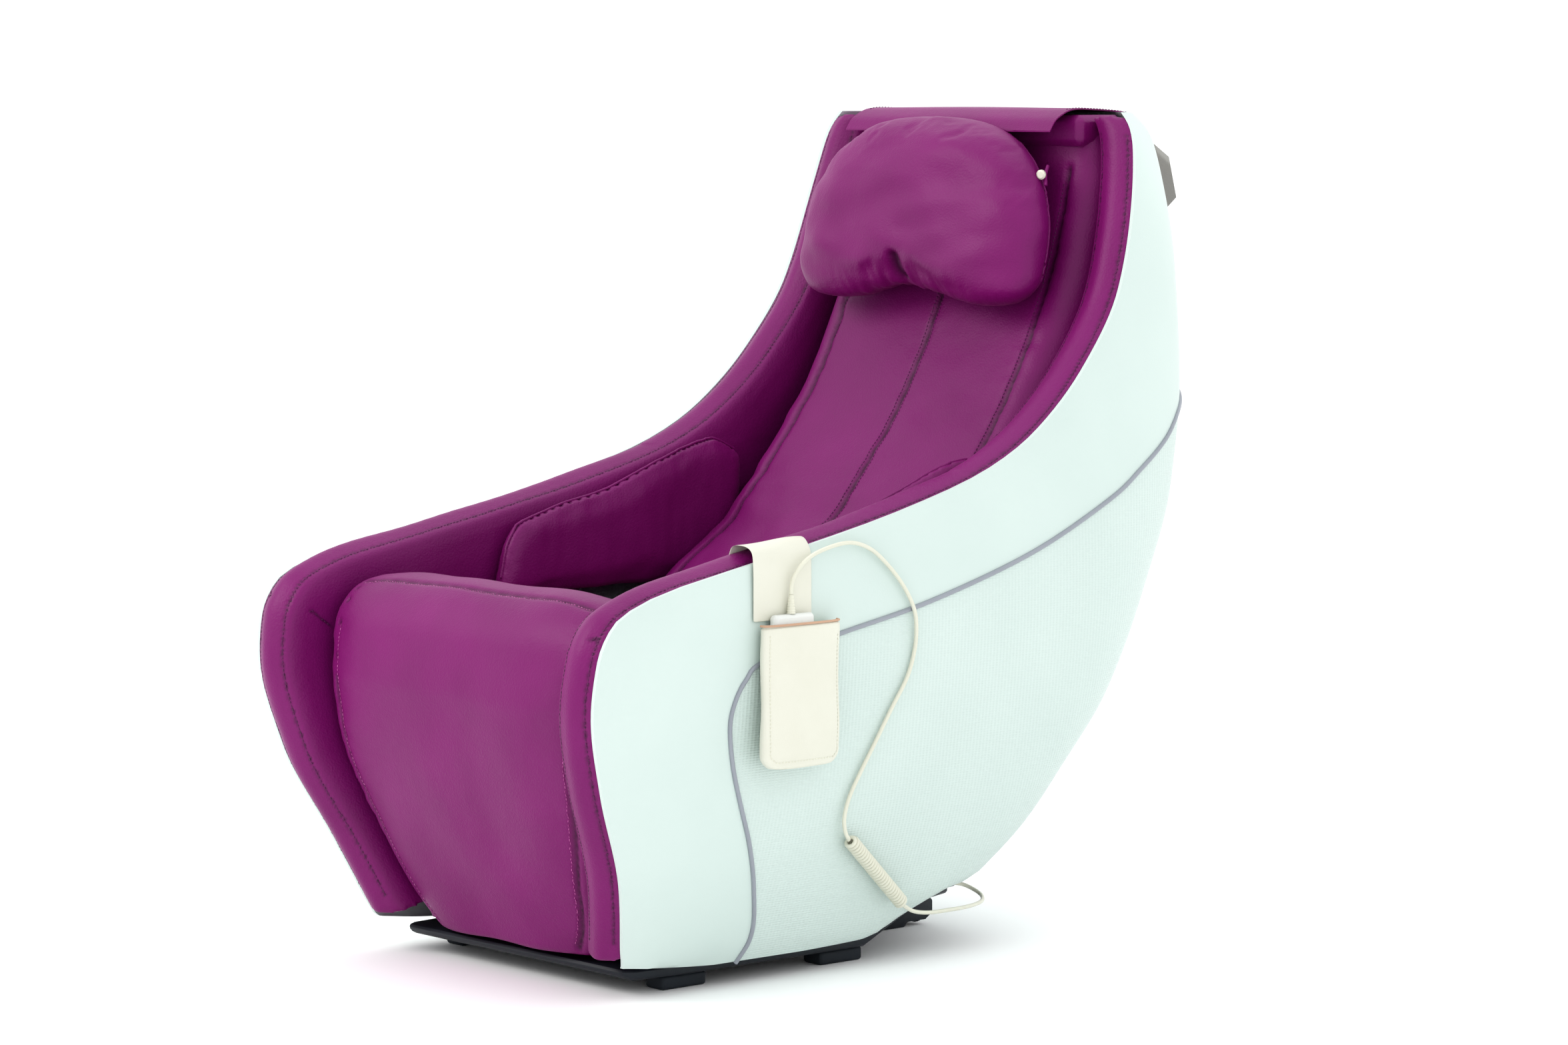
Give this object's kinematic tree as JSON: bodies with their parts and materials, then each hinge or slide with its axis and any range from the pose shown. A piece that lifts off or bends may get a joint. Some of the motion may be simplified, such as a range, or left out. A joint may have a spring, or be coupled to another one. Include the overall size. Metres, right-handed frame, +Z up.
{
  "type": "massage chair",
  "caption": "Compact massage chair: curved shell with padded arms and wings, arc-guided massage carriage, swing-out leg rest, head pillow and corded handset.",
  "frame": {"origin": "the floor under the middle of the chair's footprint, cord left out", "axes": "+Z up, -Y towards the front where the sitter's feet go, +X the side with the handset's pocket"},
  "size_m": [0.6907, 1.0624, 1.0392],
  "materials": {
    "shell_leather": "white grained synthetic leather",
    "purple_leather": "soft matt synthetic leather",
    "tray_plastic": "moulded black polypropylene",
    "foot_rubber": "moulded rubber",
    "chrome": "chromed pressing",
    "steel": "zinc-plated steel",
    "grey_plastic": "moulded grey plastic",
    "motor_black": "black enamel",
    "roller_nylon": "moulded nylon",
    "air_film": "coated cloth",
    "cream_leather": "cream synthetic leather",
    "cord_vinyl": "moulded vinyl",
    "remote_plastic": "white ABS",
    "key_plastic": "grey silicone keys",
    "deck_board": "plywood"
  },
  "bodies": {
    "root": {"air_pump": "motor_black", "arm_pad_left": "purple_leather", "arm_pad_right": "purple_leather", "back_pad": "purple_leather", "base_tray": "tray_plastic", "carry_handle": "chrome", "cord_coil": "cord_vinyl", "cord_gland": "tray_plastic", "cord_lower": "cord_vinyl", "cord_upper": "cord_vinyl", "foot_front_left": "foot_rubber", "foot_front_right": "foot_rubber", "foot_middle_left": "foot_rubber", "foot_middle_right": "foot_rubber", "guide_rail_left": "steel", "guide_rail_right": "steel", "handle_grip_inset": "tray_plastic", "hip_cushion_left": "purple_leather", "hip_cushion_right": "purple_leather", "mains_inlet": "grey_plastic", "pillow_flap_rear": "purple_leather", "power_supply": "grey_plastic", "rear_panel": "shell_leather", "remote_pocket": "cream_leather", "seat_deck": "deck_board", "seat_pad": "purple_leather", "side_frame_left": "steel", "side_frame_right": "steel", "side_panel_left": "shell_leather", "side_panel_right": "shell_leather", "top_cap": "purple_leather", "valve_block": "grey_plastic", "wheel_bracket_left": "tray_plastic", "wheel_bracket_right": "tray_plastic"},
    "carriage": {"carriage_frame": "steel", "travel_motor": "motor_black", "kneading_motor": "motor_black", "kneading_shaft": "steel"},
    "drive_pinion": {"pinion_shaft": "steel"},
    "pillow": {"head_pillow": "purple_leather", "pillow_flap_front": "purple_leather"},
    "leg_rest": {"leg_rest_cover": "purple_leather", "leg_rest_axle": "steel", "calf_air_cell_left": "air_film", "calf_air_cell_right": "air_film"},
    "handset": {"remote_case": "remote_plastic", "remote_strain_relief": "cord_vinyl"},
    "rocker": {"power_rocker": "motor_black"},
    "kneader_left": {"massage_arm_left": "grey_plastic"},
    "roller_upper_left": {"massage_roller_upper_left": "roller_nylon"},
    "roller_lower_left": {"massage_roller_lower_left": "roller_nylon"},
    "wheel_left": {"transport_wheel_left": "foot_rubber"},
    "kneader_right": {"massage_arm_right": "grey_plastic"},
    "roller_upper_right": {"massage_roller_upper_right": "roller_nylon"},
    "roller_lower_right": {"massage_roller_lower_right": "roller_nylon"},
    "wheel_right": {"transport_wheel_right": "foot_rubber"},
    "key_power": {"remote_key_power": "key_plastic"},
    "key_program": {"remote_key_program": "key_plastic"},
    "key_up": {"remote_key_up": "key_plastic"},
    "key_down": {"remote_key_down": "key_plastic"}
  },
  "joints": [
    {"name": "carriage_travel", "type": "hinge", "parent": "root", "child": "carriage", "pos_m": [-0.0106, -0.4152, 1.096], "axis": [1, 0, 0], "range_deg": [-8, 22]},
    {"name": "pinion_spin", "type": "hinge", "parent": "carriage", "child": "drive_pinion", "pos_m": [-0.0106, 0.10347, 0.37153], "axis": [1, 0, 0], "continuous": true},
    {"name": "kneading_left", "type": "hinge", "parent": "carriage", "child": "kneader_left", "pos_m": [-0.0706, 0.18233, 0.43237], "axis": [1, 0, 0], "range_deg": [-5, 5]},
    {"name": "kneading_right", "type": "hinge", "parent": "carriage", "child": "kneader_right", "pos_m": [0.0494, 0.18233, 0.43237], "axis": [1, 0, 0], "range_deg": [-5, 5]},
    {"name": "roller_upper_left_spin", "type": "hinge", "parent": "kneader_left", "child": "roller_upper_left", "pos_m": [-0.0706, 0.21093, 0.49557], "axis": [1, 0, 0], "continuous": true},
    {"name": "roller_lower_left_spin", "type": "hinge", "parent": "kneader_left", "child": "roller_lower_left", "pos_m": [-0.0706, 0.1165, 0.41054], "axis": [1, 0, 0], "continuous": true},
    {"name": "roller_upper_right_spin", "type": "hinge", "parent": "kneader_right", "child": "roller_upper_right", "pos_m": [0.0494, 0.21093, 0.49557], "axis": [1, 0, 0], "continuous": true},
    {"name": "roller_lower_right_spin", "type": "hinge", "parent": "kneader_right", "child": "roller_lower_right", "pos_m": [0.0494, 0.1165, 0.41054], "axis": [1, 0, 0], "continuous": true},
    {"name": "pillow_flip", "type": "hinge", "parent": "root", "child": "pillow", "pos_m": [-0.0106, 0.3541, 1.0335], "axis": [-1, 0, 0], "range_deg": [0, 70]},
    {"name": "leg_rest_swing", "type": "hinge", "parent": "root", "child": "leg_rest", "pos_m": [-0.0106, -0.4072, 0.393], "axis": [-1, 0, 0], "range_deg": [0, 60]},
    {"name": "handset_lift", "type": "slide", "parent": "root", "child": "handset", "axis": [0, 0, 1], "range_m": [0, 0.17], "deforming": ["cord_upper"]},
    {"name": "key_power_press", "type": "slide", "parent": "handset", "child": "key_power", "axis": [-1, 0, 0], "range_m": [0, 0.0006], "stiffness_N_per_m": 900},
    {"name": "key_program_press", "type": "slide", "parent": "handset", "child": "key_program", "axis": [-1, 0, 0], "range_m": [0, 0.0006], "stiffness_N_per_m": 900},
    {"name": "key_up_press", "type": "slide", "parent": "handset", "child": "key_up", "axis": [-1, 0, 0], "range_m": [0, 0.0006], "stiffness_N_per_m": 900},
    {"name": "key_down_press", "type": "slide", "parent": "handset", "child": "key_down", "axis": [-1, 0, 0], "range_m": [0, 0.0006], "stiffness_N_per_m": 900},
    {"name": "power_rocker_tilt", "type": "hinge", "parent": "root", "child": "rocker", "pos_m": [-0.0946, 0.33423, 0.211], "axis": [1, 0, 0], "range_deg": [-6, 6]},
    {"name": "transport_wheel_left_spin", "type": "hinge", "parent": "root", "child": "wheel_left", "pos_m": [-0.0746, 0.2048, 0.019], "axis": [1, 0, 0], "continuous": true},
    {"name": "transport_wheel_right_spin", "type": "hinge", "parent": "root", "child": "wheel_right", "pos_m": [0.0534, 0.2048, 0.019], "axis": [1, 0, 0], "continuous": true}
  ],
  "couplings": [
    {"joint": "pinion_spin", "follows": "carriage_travel", "ratio": -75.4},
    {"joint": "kneading_right", "follows": "kneading_left", "ratio": -1}
  ]
}
